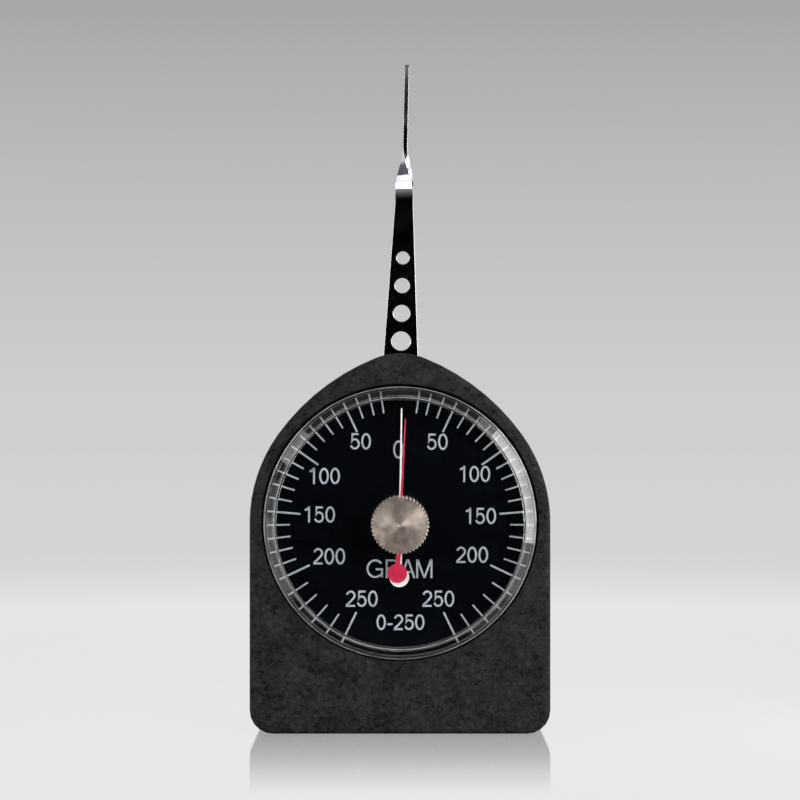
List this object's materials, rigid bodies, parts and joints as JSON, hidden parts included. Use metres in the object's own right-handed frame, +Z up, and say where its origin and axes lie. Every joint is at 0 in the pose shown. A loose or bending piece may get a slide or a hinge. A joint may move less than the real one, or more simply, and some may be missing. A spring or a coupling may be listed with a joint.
{
  "type": "lever dial force gauge",
  "caption": "Pocket dial gauge for small forces: a pierced, twisted lever arm swings in a slot of a black case and turns a white pointer, which drags a red peak pointer with a reset knob.",
  "frame": {"origin": "middle of the case's flat base, on the case's mid-depth plane", "axes": "+Z up along the case towards the lever's tip, -Y out of the dial towards the reader, +X to the reader's right"},
  "size_m": [0.062, 0.0309, 0.1391],
  "materials": {
    "case_paint": "charcoal wrinkle paint over a die casting",
    "dial_enamel": "smooth black enamel with white printed scale",
    "crystal_acrylic": "clear polished acrylic",
    "arm_steel": "mirror-polished spring steel",
    "plain_steel": "turned steel",
    "knob_nickel": "turned and nickel plated, warm grey",
    "turned_brass": "turned or stamped brass",
    "white_lacquer": "white lacquer",
    "crimson_lacquer": "crimson lacquer",
    "gasket_rubber": "black rubber"
  },
  "bodies": {
    "case": {"case_shell": "case_paint", "rear_cover": "case_paint", "cover_screw_1": "plain_steel", "cover_screw_2": "plain_steel", "cover_screw_3": "plain_steel", "cover_screw_4": "plain_steel", "dial_plate": "dial_enamel", "crystal_gasket": "gasket_rubber", "crystal": "crystal_acrylic", "spindle_bush": "knob_nickel", "bush_nut": "turned_brass", "friction_washer": "plain_steel", "movement_plate": "turned_brass", "movement_bridge": "turned_brass", "pillar_1": "turned_brass", "pillar_2": "turned_brass", "pillar_3": "turned_brass", "pillar_4": "turned_brass", "bridge_screw_1": "plain_steel", "bridge_screw_2": "plain_steel", "bridge_screw_3": "plain_steel", "bridge_screw_4": "plain_steel", "plate_screw_1": "plain_steel", "plate_screw_2": "plain_steel", "plate_screw_3": "plain_steel", "plate_screw_4": "plain_steel", "anchor_screw_1": "plain_steel", "anchor_screw_2": "plain_steel", "spring_anchor": "turned_brass", "stop_pin_1": "plain_steel", "stop_pin_2": "plain_steel", "lever_bush_front": "turned_brass", "lever_bush_rear": "turned_brass", "pointer_bush_front": "turned_brass", "pointer_bush_rear": "turned_brass", "hairspring_stud": "plain_steel", "hairspring": "plain_steel"},
    "lever": {"lever_arm": "arm_steel", "lever_arbor": "plain_steel", "lever_hub": "turned_brass", "lever_rivet_1": "plain_steel", "lever_rivet_2": "plain_steel", "sector_gear": "turned_brass", "sector_hub": "turned_brass", "measuring_spring": "plain_steel"},
    "pointer": {"pointer_arbor": "plain_steel", "pinion": "plain_steel", "hairspring_collet": "turned_brass", "pointer_hub": "turned_brass", "drag_pin": "plain_steel", "main_pointer": "white_lacquer"},
    "peak": {"reset_knob": "knob_nickel", "knob_spindle": "plain_steel", "peak_boss": "turned_brass", "drag_dog": "turned_brass", "peak_pointer": "crimson_lacquer"}
  },
  "joints": [
    {"name": "lever_swing", "type": "hinge", "parent": "case", "child": "lever", "pos_m": [0, 0, 0.0711], "axis": [0, 1, 0], "range_deg": [-15.6, 15.6], "stiffness_Nm_per_rad": 0.6, "deforming": ["measuring_spring"]},
    {"name": "pointer_turn", "type": "hinge", "parent": "case", "child": "pointer", "pos_m": [0, 0, 0.0436], "axis": [0, 1, 0], "range_deg": [-156.1, 156.1]},
    {"name": "peak_set", "type": "hinge", "parent": "pointer", "child": "peak", "pos_m": [0, 0, 0.0436], "axis": [0, 1, 0], "range_deg": [0, 335]}
  ],
  "couplings": [
    {"joint": "pointer_turn", "follows": "lever_swing", "ratio": -10}
  ]
}
